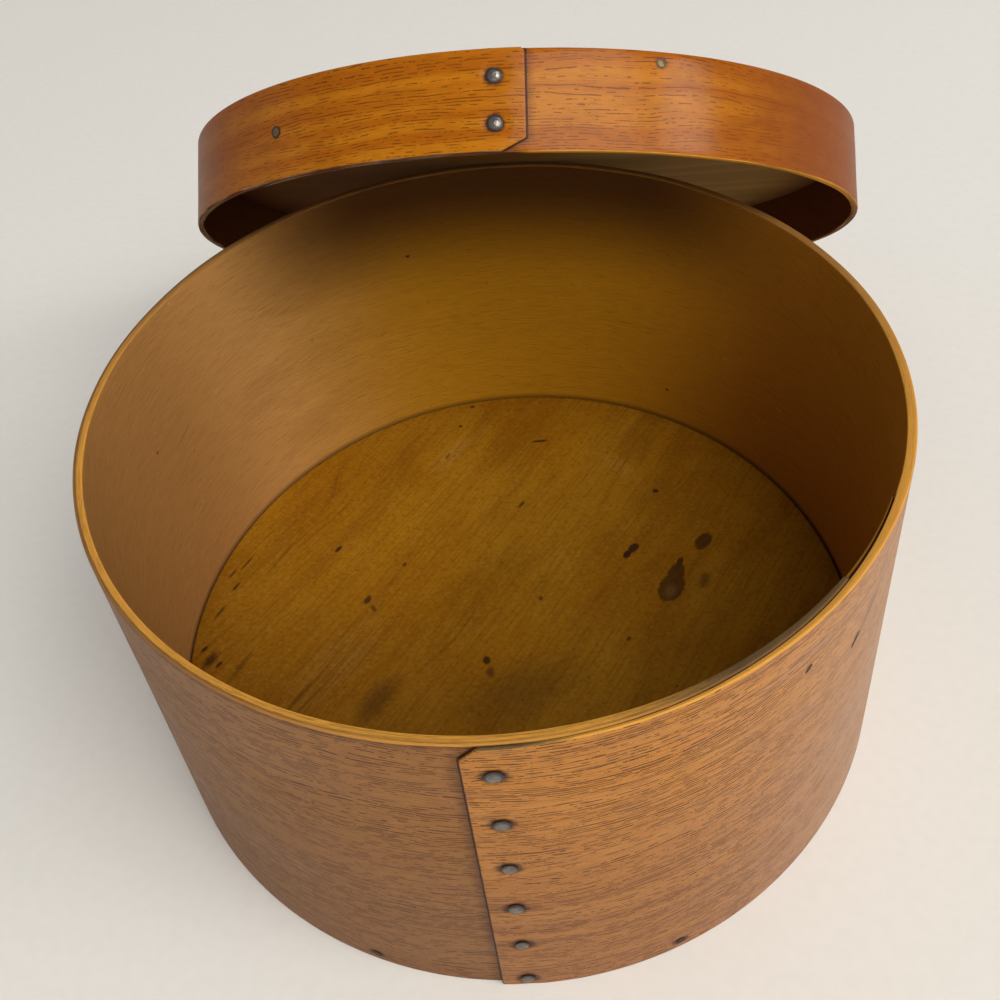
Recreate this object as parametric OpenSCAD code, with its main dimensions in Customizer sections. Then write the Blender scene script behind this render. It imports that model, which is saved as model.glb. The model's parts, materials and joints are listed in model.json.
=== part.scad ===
// Round bentwood pantry box, open, with its lid leaning on the rim behind it.
// Each wall is one thin strip of wood bent round and lapped over itself.
// Origin: centre of the box's underside. +Z is up and the lid leans at the back, towards +Y.

/* [Box] */
// Outer diameter of the box wall, away from its lap
box_d = 240; // [160:1:320]
// Height of the box wall
box_h = 122; // [90:1:180]
// Thickness of the box's bent strip
band_t = 2.7; // [2:0.1:4]
// Thickness of the bottom board
base_t = 6; // [5:0.5:10]

/* [Box lap] */
// Direction of the strip's outer end, in degrees from +X
lap_at = -89.5; // [-120:0.5:-60]
// Arc over which the strip lies over itself, in degrees
lap_arc = 65; // [45:1:90]
// Thickness left at the strip's thinned outer end
lap_end_t = 1; // [0.6:0.1:1.4]
// Width of the corner cut off the outer end, at the rim
lap_clip_w = 4.8; // [2:0.1:6]
// Height of the corner cut off the outer end, at the rim
lap_clip_h = 5; // [2:0.1:8]

/* [Lid] */
// Height of the lid wall
lid_h = 30.5; // [26:0.5:40]
// Thickness of the lid's bent strip
lid_band_t = 2.3; // [1.8:0.1:3.5]
// Thickness of the lid board
lid_board_t = 7; // [5:0.5:10]
// Gap between the closed lid and the thickest part of the box lap
lid_play = 0.5; // [0.3:0.1:2]

/* [Lid lap] */
// Direction of the lid strip's outer end with the lid closed, in degrees from +X
lid_lap_at = -85.5; // [-110:0.5:-60]
// Arc over which the lid strip lies over itself, in degrees
lid_lap_arc = 43; // [36:1:70]
// Thickness left at the lid strip's thinned outer end
lid_lap_end_t = 0.9; // [0.6:0.1:1.4]
// Width of the corner cut off the outer end, at the open edge
lid_clip_w = 7.6; // [3:0.1:8]
// Height of the corner cut off the outer end, at the open edge
lid_clip_h = 4; // [2:0.1:6]
// Width and height of the small corner cut off at the board's edge
lid_nick = 1.2; // [0.6:0.1:2]

/* [Leaning lid] */
// Angle of the leaning lid from level, in degrees
lean = 45.5; // [40:0.5:55]
// How far the lid stands off the middle, towards +X
lean_side = 5; // [-10:1:10]
// Gap left where the lid rests on the rim and on the table
rest_gap = 0.3; // [0.2:0.05:0.6]

/* [Lap tacks] */
// Tacks down the box lap, the lowest of them into the bottom board
tack_count = 6; // [4:1:8]
// Diameter of a tack's head
tack_head_d = 5; // [4:0.1:6]
// Height of a tack's domed head
tack_head_h = 0.9; // [0.6:0.1:1.4]
// Diameter of a tack's shank
tack_shank_d = 1.4; // [1:0.1:1.8]
// Length of a tack's point that is bent over inside
tack_clinch = 3; // [2:0.5:5]
// From the box lap's end to its tacks, along the wall
tack_inset = 7.3; // [6:0.1:10]
// From the rim down to the first tack
tack_drop = 11.5; // [9:0.5:16]
// From the lid lap's end to its tacks, along the wall
lid_tack_inset = 9; // [7:0.1:12]
// From the lid's open edge to its lower tack
lid_tack_edge = 8.4; // [5:0.1:10]
// From the lid board's underside down to its upper tack
lid_tack_under = 1.2; // [1:0.1:3]

/* [Nails] */
// Diameter of a nail's head
nail_head_d = 3; // [2.5:0.1:4]
// Thickness of a nail's head, sunk flush with the wall
nail_head_h = 0.6; // [0.4:0.1:0.8]
// Diameter of a nail's shank
nail_shank_d = 1.3; // [1:0.1:1.6]
// Length of a nail
nail_l = 14; // [10:0.5:20]
// Length of a nail's point, and of the lowest tack's
nail_point = 2; // [1:0.5:3]
// Nails round the bottom board
base_nail_count = 6; // [4:1:8]
// From the bottom board's upper face down to those nails
base_nail_drop = 2; // [1.5:0.1:2.5]
// Arc left free of nails where the lowest tack goes in, in degrees
base_nail_skip = 42; // [30:1:60]
// Nails round the lid board
lid_nail_count = 3; // [3:1:5]
// Direction of the first of them with the lid closed, in degrees from +X
lid_nail_at = -66.8; // [-75:0.1:-55]
// From the lid strip's inner end to the nail that holds it, along the wall
lid_end_nail_inset = 10; // [6:0.5:14]

/* [Clearances] */
// Gap between the two layers of a lap
lap_gap = 0.15; // [0.1:0.05:0.25]
// Gap between a board's edge and its wall
board_play = 0.15; // [0.1:0.05:0.3]
// Gap round a shank, and under a head
tack_play = 0.05; // [0.03:0.01:0.1]

/* [Hidden] */
$fn = 180;
small_fn = 32;
box_r = box_d / 2;
box_in_r = box_r - band_t;
lid_in_r = box_r + lap_end_t + lid_play;
lid_r = lid_in_r + lid_band_t;
lid_depth = lid_h - lid_board_t;

// Place of the leaning lid: its edge on the table, its board on the box's rear rim
lid_z = lid_r * sin(lean) + rest_gap;
lid_y = box_r - (lid_depth - rest_gap - (box_h - lid_z) * cos(lean)) / sin(lean);

// Angle that a length along a wall of radius r turns through
function turn(length, r) = length / r * 180 / PI;
// How far a strip's face stands out over its own wall, at an angle from its outer end
function rise(end_t, a) = end_t / 2 * (1 + cos(min(a, 180)));
// Angle from 0 to 360
function whole(a) = a - 360 * floor(a / 360);

base_nail_z = base_t - base_nail_drop;
tack_a = turn(tack_inset, box_r);
tack_step = (box_h - tack_drop - base_nail_z) / (tack_count - 1);
function tack_z(i) = box_h - tack_drop - (i - 1) * tack_step;

lid_tack_a = turn(lid_tack_inset, lid_r);
lid_tack_zs = [lid_depth - lid_tack_under, lid_tack_edge];
lid_end_a = lid_lap_arc - turn(lid_end_nail_inset, lid_r);

base_nail_step = (360 - base_nail_skip) / (base_nail_count - 1);
function base_nail_a(i) = tack_a + base_nail_skip / 2 + (i - 1) * base_nail_step;
function lid_nail_a(i) = whole(lid_lap_at - lid_nail_at + (i - 1) * 360 / lid_nail_count);
lid_nail_z = lid_h - lid_board_t / 2;

wood_tan = "#a9713f";
wood_pine = "#8c6629";
wood_amber = "#b96c20";
wood_grey = "#a39470";
steel_grey = "#8f8b86";
iron_dark = "#5b5149";

// Fan from the axis, from angle a0 to a1, that reaches past radius r
module wedge(r, a0, a1) {
    fan_steps = 6;
    fan_r = 1.5 * r;
    polygon(concat([[0, 0]], [for (k = [0:fan_steps]) let (a = a0 + (a1 - a0) * k / fan_steps)
        fan_r * [cos(a), sin(a)]]));
}

module ring(r_in, r_out) {
    difference() {
        circle(r_out);
        circle(r_in);
    }
}

// Plan of a bent strip: inner radius r, thickness t, outer end at angle 0, lapped to angle arc.
// The outer layer thickens from its end, and the inner layer thins towards its own end.
module strip(r, t, arc, end_t) {
    out_shift = end_t / 2;
    feather_t = rise(end_t, arc);
    scarf_shift = (t - feather_t) / (1 - cos(arc));
    scarf_r = r + t - scarf_shift;
    far_r = r + t + end_t;
    end_gap_a = turn(2 * lap_gap, r);
    intersection() {
        ring(r, r + t);
        wedge(far_r, 180, 360);
    }
    intersection() {
        translate([out_shift, 0]) ring(r + out_shift, r + t + out_shift);
        wedge(far_r, arc, 180);
    }
    difference() {
        intersection() {
            translate([out_shift, 0]) circle(r + t + out_shift);
            wedge(far_r, 0, arc + end_gap_a);
        }
        translate([scarf_shift, 0]) circle(scarf_r + lap_gap);
    }
    difference() {
        intersection() {
            translate([scarf_shift, 0]) circle(scarf_r);
            wedge(far_r, 0, arc - end_gap_a);
        }
        circle(r);
    }
}

// Corner cut off a lap's outer layer: w along the wall at height z, and h up from there, or down if negative
module clip_corner(r, w, h, z, depth) {
    cut_over = 1;
    over_h = cut_over * h / w;
    translate([r, 0, z]) rotate([90, 0, 90]) linear_extrude(depth)
        polygon([[-cut_over, h + over_h], [w + cut_over, -over_h], [-cut_over, -over_h]]);
}

// Puts a piece on a wall: out along +X from radius r, at angle a and height z
module on_wall(r, a, z) {
    rotate(a) translate([r, 0, z]) children();
}

// Straight shank and point, in from the wall's face
module shank(d, length, point) {
    blunt_d = d / 4;
    rotate([0, -90, 0]) {
        cylinder(d = d, h = length - point, $fn = small_fn);
        translate([0, 0, length - point]) cylinder(d1 = d, d2 = blunt_d, h = point, $fn = small_fn);
    }
}

module tack_head() {
    edge_h = tack_head_h / 3;
    dome_h = tack_head_h - edge_h;
    dome_r = (pow(tack_head_d / 2, 2) + pow(dome_h, 2)) / (2 * dome_h);
    rotate([0, 90, 0]) {
        cylinder(d = tack_head_d, h = edge_h, $fn = small_fn);
        intersection() {
            translate([0, 0, tack_head_h - dome_r]) sphere(dome_r);
            translate([0, 0, edge_h]) cylinder(d = tack_head_d, h = dome_h, $fn = small_fn);
        }
    }
}

// Tack through a lap, its point bent down inside the wall
module clinched_tack(grip) {
    bend_d = 0.8 * tack_shank_d;
    tip_d = 0.3 * tack_shank_d;
    tack_head();
    rotate([0, -90, 0]) cylinder(d = tack_shank_d, h = grip + tack_shank_d, $fn = small_fn);
    translate([-grip - tack_shank_d / 2, 0, -tack_clinch])
        cylinder(d1 = tip_d, d2 = bend_d, h = tack_clinch, $fn = small_fn);
}

module flush_nail() {
    shank(nail_shank_d, nail_l, nail_point);
    rotate([0, -90, 0]) cylinder(d = nail_head_d, h = nail_head_h, $fn = small_fn);
}

// Room for a flush nail
module nail_hole() {
    shank(nail_shank_d + 2 * tack_play, nail_l + tack_play, nail_point);
    translate([nail_head_h, 0, 0]) rotate([0, -90, 0])
        cylinder(d = nail_head_d + 2 * tack_play, h = 2 * nail_head_h + tack_play, $fn = small_fn);
}

// Room for a tack's shank, right through a wall or straight into a board
module tack_hole() {
    translate([tack_head_h, 0, 0])
        shank(tack_shank_d + 2 * tack_play, tack_head_h + nail_l + tack_play, nail_point);
}

// Places on the box: the lap's own angle is counted from the strip's outer end
module box_place(a, z) {
    on_wall(box_r + rise(lap_end_t, whole(a)), lap_at + a, z) children();
}

// Places on the lid, whose strip runs the other way round
module lid_place(a, z) {
    on_wall(lid_r + rise(lid_lap_end_t, whole(a)), lid_lap_at - a, z) children();
}

module lean_lid() {
    translate([lean_side, lid_y, lid_z]) rotate([-lean, 0, 0]) children();
}

module box_band() {
    color(wood_tan) difference() {
        rotate(lap_at) linear_extrude(box_h) strip(box_in_r, band_t, lap_arc, lap_end_t);
        rotate(lap_at) clip_corner(box_r + lap_gap / 2, lap_clip_w, -lap_clip_h, box_h, 2 * lap_end_t);
        for (i = [1:tack_count]) box_place(tack_a, tack_z(i)) tack_hole();
        for (i = [1:base_nail_count]) box_place(base_nail_a(i), base_nail_z) nail_hole();
    }
}

module box_base() {
    color(wood_pine) difference() {
        cylinder(r = box_in_r - board_play, h = base_t);
        box_place(tack_a, tack_z(tack_count)) tack_hole();
        for (i = [1:base_nail_count]) box_place(base_nail_a(i), base_nail_z) nail_hole();
    }
}

module box_lap_tack(i) {
    color(steel_grey) box_place(tack_a, tack_z(i)) translate([tack_play, 0, 0])
        if (i < tack_count) {
            clinched_tack(band_t + lap_end_t + 2 * tack_play);
        } else {
            tack_head();
            shank(tack_shank_d, nail_l, nail_point);
        }
}

module box_base_nail(i) {
    color(iron_dark) box_place(base_nail_a(i), base_nail_z) flush_nail();
}

module lid_band() {
    color(wood_amber) lean_lid() difference() {
        rotate(lid_lap_at) mirror([0, 1, 0]) difference() {
            linear_extrude(lid_h) strip(lid_in_r, lid_band_t, lid_lap_arc, lid_lap_end_t);
            clip_corner(lid_r + lap_gap / 2, lid_clip_w, lid_clip_h, 0, 2 * lid_lap_end_t);
            clip_corner(lid_r + lap_gap / 2, lid_nick, -lid_nick, lid_h, 2 * lid_lap_end_t);
        }
        for (z = lid_tack_zs) lid_place(lid_tack_a, z) tack_hole();
        lid_place(lid_end_a, lid_h / 2) nail_hole();
        for (i = [1:lid_nail_count]) lid_place(lid_nail_a(i), lid_nail_z) nail_hole();
    }
}

module lid_board() {
    color(wood_grey) lean_lid() difference() {
        translate([0, 0, lid_depth]) cylinder(r = lid_in_r - board_play, h = lid_board_t);
        for (i = [1:lid_nail_count]) lid_place(lid_nail_a(i), lid_nail_z) nail_hole();
    }
}

module lid_lap_tack(i) {
    color(steel_grey) lean_lid() lid_place(lid_tack_a, lid_tack_zs[i - 1]) translate([tack_play, 0, 0])
        clinched_tack(lid_band_t + lid_lap_end_t + 2 * tack_play);
}

// Nail that holds the strip's inner end, cut off level with the inside of the wall
module lid_end_nail() {
    grip = lid_band_t + rise(lid_lap_end_t, lid_end_a);
    color(iron_dark) lean_lid() lid_place(lid_end_a, lid_h / 2) rotate([0, -90, 0]) {
        cylinder(d = nail_head_d, h = nail_head_h, $fn = small_fn);
        cylinder(d = nail_shank_d, h = grip, $fn = small_fn);
    }
}

module lid_board_nail(i) {
    color(iron_dark) lean_lid() lid_place(lid_nail_a(i), lid_nail_z) flush_nail();
}

box_band();
box_base();
lid_band();
lid_board();
lid_end_nail();
for (i = [1:tack_count])
    box_lap_tack(i);
for (i = [1:base_nail_count])
    box_base_nail(i);
for (i = [1:len(lid_tack_zs)])
    lid_lap_tack(i);
for (i = [1:lid_nail_count])
    lid_board_nail(i);
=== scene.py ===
"""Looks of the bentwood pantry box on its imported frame: walls, boards, tacks, nails and a plain stage."""
import json
import math

import bpy
import numpy as np
from bpy.props import FloatProperty, FloatVectorProperty, PointerProperty
from mathutils import Matrix, Vector


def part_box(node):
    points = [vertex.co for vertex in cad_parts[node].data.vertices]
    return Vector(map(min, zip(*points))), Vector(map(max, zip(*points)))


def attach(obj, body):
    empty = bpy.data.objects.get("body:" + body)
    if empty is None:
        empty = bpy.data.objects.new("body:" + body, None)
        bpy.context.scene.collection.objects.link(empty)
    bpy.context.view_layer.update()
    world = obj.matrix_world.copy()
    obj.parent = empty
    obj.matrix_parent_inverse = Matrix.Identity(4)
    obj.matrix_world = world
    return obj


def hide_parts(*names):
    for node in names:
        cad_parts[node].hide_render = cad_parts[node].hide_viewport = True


bl_info = {
    "name": "Bentwood Pantry Box",
    "version": (1, 0, 0),
    "blender": (4, 5, 0),
    "location": "View3D > Sidebar > Pantry Box",
    "description": "Builds the walls, boards, tacks and nails of a lapped bentwood box and its leaning lid",
    "category": "Object",
}

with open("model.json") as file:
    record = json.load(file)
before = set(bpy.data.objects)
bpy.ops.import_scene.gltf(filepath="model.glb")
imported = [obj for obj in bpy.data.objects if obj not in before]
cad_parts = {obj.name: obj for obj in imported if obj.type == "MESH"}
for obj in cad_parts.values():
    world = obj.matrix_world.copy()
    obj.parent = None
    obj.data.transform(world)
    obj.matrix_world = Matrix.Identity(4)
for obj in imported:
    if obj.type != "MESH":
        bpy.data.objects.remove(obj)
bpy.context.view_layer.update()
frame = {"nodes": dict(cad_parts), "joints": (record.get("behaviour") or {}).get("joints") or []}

MM = 0.001
WALL_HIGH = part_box("box_band")[1]
BOTTOM_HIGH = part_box("box_base")[1]
BOARD_LOW, BOARD_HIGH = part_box("lid_board")
LID_AXIS = Vector(frame["joints"][0]["axis"]).normalized()
END_NAIL = "lid_end_nail"
IN_PLACE = Matrix.Identity(4)

# Names of the mesh attributes that carry a piece's own place, in millimetres, to its finish
STRIP_PLACE = "strip_mm"
BOARD_PLACE = "board_mm"
METAL_PLACE = "metal_mm"
# A strip's third place is 0 on its outer face and this on its inner face
INSIDE = 50.0


def length(name, description, default):
    return FloatProperty(
        name=name, description=description, default=default, min=0.0, unit="LENGTH", precision=5)


def angle(name, description, degrees):
    return FloatProperty(name=name, description=description, default=math.radians(degrees), subtype="ANGLE")


def number(name, description, default, unit="NONE"):
    return FloatProperty(name=name, description=description, default=default, unit=unit)


def location(name, description, default):
    return FloatVectorProperty(
        name=name, description=description, default=default, subtype="TRANSLATION", precision=5)


def colour(name, description, default):
    return FloatVectorProperty(
        name=name, description=description, default=default, min=0.0, max=1.0, subtype="COLOR")


class BoxSizes(bpy.types.PropertyGroup):
    """Sizes of the box, standing on its bottom board."""

    radius: length("Radius", "Outer radius of the wall, away from its lap", round(WALL_HIGH.y, 4))
    height: length("Height", "Height of the wall", round(WALL_HIGH.z, 4))
    thickness: length("Thickness", "Thickness of the bent strip", 2.7 * MM)
    board_thickness: length("Board thickness", "Thickness of the bottom board", round(BOTTOM_HIGH.z, 4))
    lap_end: angle("Lap end", "Direction of the strip's outer end", -89.5)
    lap_arc: angle("Lap arc", "Arc over which the strip lies over itself", 65.0)
    end_thickness: length("End thickness", "Thickness left at the strip's outer end", 1.0 * MM)
    clip_width: length("Clip width", "Width of the corner cut off the outer end at the rim", 4.8 * MM)
    clip_height: length("Clip height", "Height of the corner cut off the outer end at the rim", 5.0 * MM)
    nick: length("Nick", "Size of the corner cut off the outer end at the board", 0.0)
    chip_height: length("Chip height", "Depth of the chip broken from the inner end at the rim", 1.3 * MM)
    chip_arc: angle("Chip arc", "Arc of the lap that the chip leaves whole", 49.6)
    sag: length("Sag", "How far the free edge has pulled in with age", 0.3 * MM)


class LidSizes(bpy.types.PropertyGroup):
    """Sizes of the lid, turned over so that it stands on its board."""

    radius: length("Radius", "Outer radius of the wall, away from its lap", 123.8 * MM)
    height: length("Height", "Height of the wall", 30.5 * MM)
    thickness: length("Thickness", "Thickness of the bent strip", 2.3 * MM)
    board_thickness: length("Board thickness", "Thickness of the lid board", 7.0 * MM)
    lap_end: angle("Lap end", "Direction of the strip's outer end", 85.5)
    lap_arc: angle("Lap arc", "Arc over which the strip lies over itself", 43.0)
    end_thickness: length("End thickness", "Thickness left at the strip's outer end", 0.9 * MM)
    clip_width: length("Clip width", "Width of the corner cut off the outer end at the open edge", 7.6 * MM)
    clip_height: length("Clip height", "Height of that corner", 4.0 * MM)
    nick: length("Nick", "Size of the corner cut off the outer end at the board", 1.2 * MM)
    chip_height: length("Chip height", "Depth of the chip broken from the inner end at the open edge", 0.0)
    chip_arc: angle("Chip arc", "Arc of the lap that the chip leaves whole", 43.0)
    sag: length("Sag", "How far the free edge has pulled in with age", 0.2 * MM)


class FastenerSizes(bpy.types.PropertyGroup):
    """Sizes of the tacks and nails."""

    tack_head: length("Tack head", "Diameter of a tack's head", 5.0 * MM)
    tack_dome: length("Tack dome", "Height of a tack's domed head", 0.9 * MM)
    tack_shank: length("Tack shank", "Diameter of a tack's shank", 1.4 * MM)
    tack_clinch: length("Clinch", "Length of the point bent over inside", 3.0 * MM)
    nail_head: length("Nail head", "Diameter of a nail's head", 3.0 * MM)
    nail_shank: length("Nail shank", "Diameter of a nail's shank", 1.3 * MM)
    nail_length: length("Nail length", "Length of a nail, and of the lowest tack", 14.0 * MM)
    nail_point: length("Nail point", "Length of a nail's point", 2.0 * MM)


class Finishes(bpy.types.PropertyGroup):
    """Colours of the woods and metals."""

    wall: colour("Wall", "Upper outside of the box wall", (0.48, 0.188, 0.034))
    wall_low: colour("Wall, low", "Redder lower outside of the box wall", (0.30, 0.122, 0.042))
    wall_pale: colour("Wall, pale", "Palest growth bands of the box wall", (0.50, 0.225, 0.055))
    # The bloom colour is partly a painted sheen on the lit right side of the box wall
    wall_bloom_and_sheen: colour("Wall, bloom", "Paler dulled side of the box wall", (0.42, 0.255, 0.165))
    # The greyed colour also paints the shade on the left outside of the box wall, as well as stains and
    # dulling on its rim
    wall_grey_and_shade: colour("Wall, greyed", "Rubbed and greyed outside of the box wall", (0.20, 0.090, 0.031))
    # The pore colour also paints the shade under the lid on the upper back of the inside
    wall_pores_and_shade: colour("Wall, pores", "Open pores of the box wall", (0.065, 0.021, 0.006))
    # Painted light: the inside colour is made lighter to stand for the light on the left and back inside
    # the box
    inside: colour("Inside", "Inside of the box wall", (0.60, 0.315, 0.092))
    inside_red: colour("Inside, red", "Redder patches inside the box wall", (0.345, 0.160, 0.046))
    # Painted shade: a darker, browner copy of the inside for the right side, which faces away from the
    # lamps
    inside_shaded: colour("Inside, dark", "Browner right side inside the box wall", (0.38, 0.155, 0.012))
    inside_yellow: colour("Inside, yellow", "Yellower back inside the box wall", (0.56, 0.27, 0.010))
    # The rim colour also paints a highlight along part of the lid's open edge
    rim: colour("Rim", "Worn edge of the box wall", (0.66, 0.31, 0.046))
    rim_dirt: colour("Rim, dirty", "Handled edge of the box wall", (0.09, 0.058, 0.026))
    bottom: colour("Bottom", "Bottom board", (0.355, 0.150, 0.003))
    bottom_pale: colour("Bottom, pale", "Paler patches of the bottom board", (0.40, 0.188, 0.007))
    # The dark grain colour also paints the shade towards the front and left of the bottom
    bottom_dark_and_shade: colour("Bottom, dark", "Dark grain of the bottom board", (0.17, 0.058, 0.002))
    bottom_dust: colour("Bottom, rubbed", "Pale rubbed places of the bottom board", (0.45, 0.27, 0.07))
    bottom_stain: colour("Stain", "Old spills on the bottom board", (0.035, 0.014, 0.005))
    lid: colour("Lid", "Varnished outside of the lid wall", (0.36, 0.095, 0.002))
    lid_pale: colour("Lid, pale", "Palest growth bands of the lid wall", (0.52, 0.188, 0.007))
    # The red varnish colour also paints the shade round the sides of the lid wall
    lid_red_and_shade: colour("Lid, red", "Redder varnish on the lid", (0.20, 0.045, 0.002))
    lid_pores: colour("Lid, pores", "Pores of the lid wall under the varnish", (0.09, 0.020, 0.002))
    # The dark inside colour of the lid wall also paints the shade on the underside of the lid board
    lid_inside_and_shade: colour("Lid, inside", "Inside of the lid wall", (0.13, 0.045, 0.015))
    lid_edge: colour("Lid, edge", "Worn open edge of the lid wall", (0.30, 0.20, 0.12))
    board: colour("Lid board", "Bare underside of the lid board", (0.27, 0.155, 0.042))
    board_dark: colour("Lid board, dark", "Dark grain of the lid board", (0.16, 0.08, 0.018))
    # The dirt colour also paints the shade in the lap's seam and beside its step
    dirt_and_seam_shade: colour("Dirt", "Dark grime in seams and round the tacks", (0.04, 0.012, 0.009))
    steel: colour("Steel", "Worn steel of the tacks", (0.23, 0.21, 0.185))
    # The tarnish colour also paints the shade round the edges of the tack heads
    tarnish_and_shade: colour("Tarnish and edge shade", "Dark tarnish on the tacks", (0.05, 0.042, 0.045))
    iron: colour("Iron", "Dark iron of the lid's nails", (0.19, 0.145, 0.08))
    rust: colour("Rust", "Rust on the nails", (0.06, 0.028, 0.014))


class Stage(bpy.types.PropertyGroup):
    """Camera, floor and lights."""

    camera_place: location("Camera", "Place of the camera", (0.03763, -0.25414, 0.34592))
    camera_swing: angle("Swing", "Turn of the camera to the right of +Y", -7.343)
    camera_tip: angle("Tip", "Tilt of the camera below level", 39.897)
    camera_roll: angle("Roll", "Roll of the camera, clockwise", 6.458)
    lens: number("Lens", "Focal length in millimetres", 41.775, unit="CAMERA")
    drop: number("Drop", "How far the picture reaches below the view's middle, in picture widths", 0.15)
    floor_radius: length("Floor radius", "Radius of the level part of the floor", 2.8)
    backdrop_bend: length("Backdrop bend", "Radius of the bend from the floor up to the backdrop", 1.0)
    backdrop_height: length("Backdrop height", "Height of the backdrop", 1.8)
    floor: colour("Floor", "Floor and backdrop", (0.84, 0.825, 0.79))
    floor_fleck: colour("Floor fleck", "Faint flecks of the floor and backdrop", (0.82, 0.805, 0.77))
    sky: colour("Sky", "Soft light from above", (0.95, 0.97, 1.0))
    sky_strength: number("Sky strength", "Level of the soft light from above", 0.27)
    lamp: colour("Lamp", "Light of both lamps", (1.0, 0.96, 0.90))
    main_place: location("Main lamp", "Place of the large soft lamp", (1.82, -2.17, 3.62))
    main_size: length("Main size", "Width of the large soft lamp", 3.0)
    main_power: number("Main power", "Power of the large soft lamp", 150.0, unit="POWER")
    side_place: location("Side lamp", "Place of the smaller side lamp", (3.19, -0.74, 2.29))
    side_size: length("Side size", "Width of the smaller side lamp", 1.1)
    side_power: number("Side power", "Power of the smaller side lamp", 30.0, unit="POWER")


class PantryBox(bpy.types.PropertyGroup):
    """All the values that the operators use."""

    box: PointerProperty(type=BoxSizes)
    lid: PointerProperty(type=LidSizes)
    fasteners: PointerProperty(type=FastenerSizes)
    finishes: PointerProperty(type=Finishes)
    stage: PointerProperty(type=Stage)


# Shapes

EDGE_ROUND = 0.45 * MM
END_ROUND = 0.5 * MM
LAP_GAP = 0.15 * MM
BOARD_GAP = 0.15 * MM
RIM_WEAR = 0.12 * MM
CHIP_SLOPE = 1.5 * MM
BOARD_WARP = 0.12 * MM
WARP_WAVES = (21 * MM, 34 * MM)
WARP_MARGIN = 20 * MM
TACK_HOLLOW = 0.22 * MM
TACK_SINK = 0.1 * MM
NAIL_PROUD = 0.14 * MM
HEAD_DEPTH = 0.7 * MM
TACK_RIPPLE = 0.04
NAIL_RIPPLE = 0.05
ROW_STEP = 1.5 * MM
BOARD_RINGS = 16
BOARD_SEGMENTS = 240
HEAD_SEGMENTS = 28
FLOOR_SEGMENTS = 96
SHARP_EDGE = math.radians(50)
# Angles of the steps round an eased edge
CORNER = np.linspace(0, math.pi / 2, 4)


def smooth(low, high, value):
    share = np.clip((value - low) / (high - low), 0.0, 1.0)
    return share * share * (3.0 - 2.0 * share)


def off_centre(shift, radius, angles):
    """Distance from the axis to a circle whose centre is shifted towards angle 0."""
    return shift * np.cos(angles) + np.sqrt(radius ** 2 - (shift * np.sin(angles)) ** 2)


def round_turn(segments):
    return np.arange(segments) * math.tau / segments


def skin(index):
    """Quads between the rows of a grid of point numbers, closed round each row."""
    here, ahead = index[:-1], index[1:]
    corners = [here, ahead, np.roll(ahead, -1, axis=1), np.roll(here, -1, axis=1)]
    return np.stack(corners, axis=-1).reshape(-1, 4)


def closed_skin(rows, columns, inside_out=False):
    """Faces through rows of points, shut at both ends by fans to two last points, the hubs."""
    index = np.arange(rows * columns).reshape(rows, columns)
    faces = skin(index).tolist()
    for hub, ring in ((rows * columns, index[0]), (rows * columns + 1, index[-1][::-1])):
        faces += [[hub, first, second] for first, second in zip(ring, np.roll(ring, -1))]
    return [face[:1] + face[:0:-1] for face in faces] if inside_out else faces


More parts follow.
